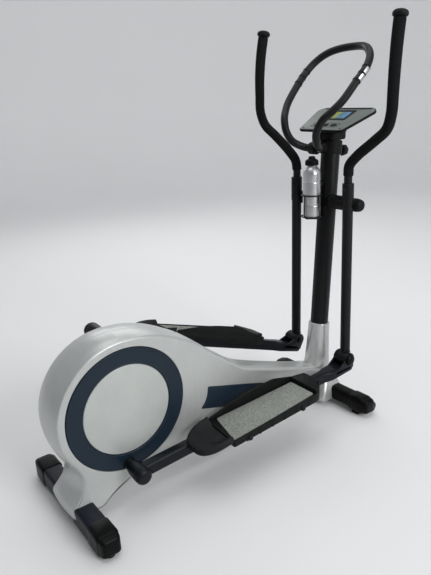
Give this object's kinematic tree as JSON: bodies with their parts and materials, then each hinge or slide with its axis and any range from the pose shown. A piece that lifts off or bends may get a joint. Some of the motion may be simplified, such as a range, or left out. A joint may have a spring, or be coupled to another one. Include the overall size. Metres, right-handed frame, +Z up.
{
  "type": "elliptical trainer",
  "caption": "Rear-drive elliptical cross trainer with moulded drum housing, swing arms, level pedal bars, mast, console, fixed loop handlebar and bottle holder.",
  "frame": {"origin": "centre of the bounding box at floor level", "axes": "+Z up, +X towards the mast end, +Y to the rider's left"},
  "size_m": [1.4794, 0.75, 1.6025],
  "materials": {
    "silver": "satin silver-grey moulded plastic",
    "navy": "satin navy moulded plastic",
    "black_steel": "satin black powder coat on steel tube",
    "black_plastic": "fine-grained black moulded plastic",
    "dark_grey": "dark grey moulded plastic",
    "wheel": "hard dark grey plastic roller",
    "foam": "ribless closed-cell foam grip",
    "tread": "grey-green gritty anti-slip mat",
    "steel": "plated steel",
    "sleeve": "glossy silver painted steel",
    "flywheel": "turned cast iron",
    "console": "grey-green satin plastic with a dark rim",
    "screen": "liquid crystal display behind a clear window",
    "pulse": "polished steel pulse plate",
    "bottle": "silver satin bottle"
  },
  "bodies": {
    "chassis": {"base_frame": "black_steel", "rear_stabilizer": "black_steel", "front_stabilizer": "black_steel", "rear_foot_cap_right": "black_plastic", "rear_foot_cap_left": "black_plastic", "front_foot_cap_right": "black_plastic", "front_foot_cap_left": "black_plastic", "housing_right": "silver", "housing_left": "silver", "side_panel_right": "navy", "side_panel_left": "navy", "mast_sleeve": "sleeve", "mast_tube": "black_steel", "pivot_axle": "black_steel", "magnet_brake": "black_steel", "console_neck": "black_plastic", "console_case": "console", "console_screen": "screen", "loop_clamp": "black_plastic", "bottle": "bottle", "bottle_cage": "black_steel"},
    "crank": {"crank_axle": "steel", "crank_ring_right": "navy", "crank_ring_left": "navy", "crank_dome_right": "silver", "crank_dome_left": "silver", "crank_pin_right": "black_steel", "crank_pin_left": "black_steel", "drive_pulley": "dark_grey"},
    "flywheel_rotor": {"flywheel": "flywheel"},
    "arm_right": {"arm_lower_right": "black_steel", "handlebar_right": "black_steel", "grip_right": "foam", "grip_cap_right": "black_plastic"},
    "arm_left": {"arm_lower_left": "black_steel", "handlebar_left": "black_steel", "grip_left": "foam", "grip_cap_left": "black_plastic"},
    "bar_right": {"pedal_bar_right": "black_steel", "joint_bolt_right": "steel", "pedal_tray_right": "black_plastic", "pedal_tread_right": "tread", "heel_scoop_right": "dark_grey"},
    "bar_left": {"pedal_bar_left": "black_steel", "joint_bolt_left": "steel", "pedal_tray_left": "black_plastic", "pedal_tread_left": "tread", "heel_scoop_left": "dark_grey"},
    "loop": {"loop_handlebar": "black_steel", "pulse_grip_right": "pulse", "pulse_grip_left": "pulse"},
    "knob": {"clamp_knob": "black_plastic"},
    "wheel_right": {"transport_wheel_right": "wheel"},
    "wheel_left": {"transport_wheel_left": "wheel"},
    "foot_right": {"leveller_right": "black_plastic"},
    "foot_left": {"leveller_left": "black_plastic"},
    "button_mode": {"console_button_mode": "black_plastic"},
    "button_set": {"console_button_set": "black_plastic"},
    "button_reset": {"console_button_reset": "black_plastic"},
    "cap": {"bottle_cap": "black_plastic"}
  },
  "joints": [
    {"name": "crank_spin", "type": "hinge", "parent": "chassis", "child": "crank", "pos_m": [-0.4767, 0, 0.365], "axis": [0, 1, 0], "continuous": true},
    {"name": "flywheel_spin", "type": "hinge", "parent": "chassis", "child": "flywheel_rotor", "pos_m": [-0.0567, 0, 0.24], "axis": [0, 1, 0], "continuous": true},
    {"name": "arm_right_swing", "type": "hinge", "parent": "chassis", "child": "arm_right", "pos_m": [0.5753, -0.142, 0.912], "axis": [0, 1, 0], "range_deg": [-17, 17]},
    {"name": "arm_left_swing", "type": "hinge", "parent": "chassis", "child": "arm_left", "pos_m": [0.5753, 0.142, 0.912], "axis": [0, 1, 0], "range_deg": [-17, 17]},
    {"name": "bar_right_level", "type": "hinge", "parent": "arm_right", "child": "bar_right", "pos_m": [0.5417, -0.146, 0.24465], "axis": [0, 1, 0], "range_deg": [-17, 17]},
    {"name": "bar_left_level", "type": "hinge", "parent": "arm_left", "child": "bar_left", "pos_m": [0.5289, 0.146, 0.24541], "axis": [0, 1, 0], "range_deg": [-17, 17]},
    {"name": "loop_tilt", "type": "hinge", "parent": "chassis", "child": "loop", "pos_m": [0.5013, 0, 1.134], "axis": [0, 1, 0], "range_deg": [-10, 10]},
    {"name": "knob_turn", "type": "hinge", "parent": "chassis", "child": "knob", "pos_m": [0.6083, 0, 1.11], "axis": [1, 0, 0], "continuous": true},
    {"name": "wheel_right_roll", "type": "hinge", "parent": "chassis", "child": "wheel_right", "pos_m": [0.5913, -0.262, 0.033], "axis": [0, 1, 0], "continuous": true},
    {"name": "wheel_left_roll", "type": "hinge", "parent": "chassis", "child": "wheel_left", "pos_m": [0.5913, 0.262, 0.033], "axis": [0, 1, 0], "continuous": true},
    {"name": "foot_right_screw", "type": "slide", "parent": "chassis", "child": "foot_right", "axis": [0, 0, -1], "range_m": [0, 0.008]},
    {"name": "foot_left_screw", "type": "slide", "parent": "chassis", "child": "foot_left", "axis": [0, 0, -1], "range_m": [0, 0.008]},
    {"name": "button_mode_press", "type": "slide", "parent": "chassis", "child": "button_mode", "axis": [0.3795, 0, -0.9252], "range_m": [0, 0.0012], "stiffness_N_per_m": 800},
    {"name": "button_set_press", "type": "slide", "parent": "chassis", "child": "button_set", "axis": [0.3795, 0, -0.9252], "range_m": [0, 0.0012], "stiffness_N_per_m": 800},
    {"name": "button_reset_press", "type": "slide", "parent": "chassis", "child": "button_reset", "axis": [0.3795, 0, -0.9252], "range_m": [0, 0.0012], "stiffness_N_per_m": 800},
    {"name": "cap_turn", "type": "hinge", "parent": "chassis", "child": "cap", "pos_m": [0.4893, 0, 1.08], "axis": [0, 0, 1], "continuous": true}
  ],
  "couplings": [
    {"joint": "flywheel_spin", "follows": "crank_spin", "ratio": 5},
    {"joint": "arm_left_swing", "follows": "arm_right_swing", "ratio": -1},
    {"joint": "bar_right_level", "follows": "arm_right_swing", "ratio": -1},
    {"joint": "bar_left_level", "follows": "arm_right_swing", "ratio": 1}
  ]
}
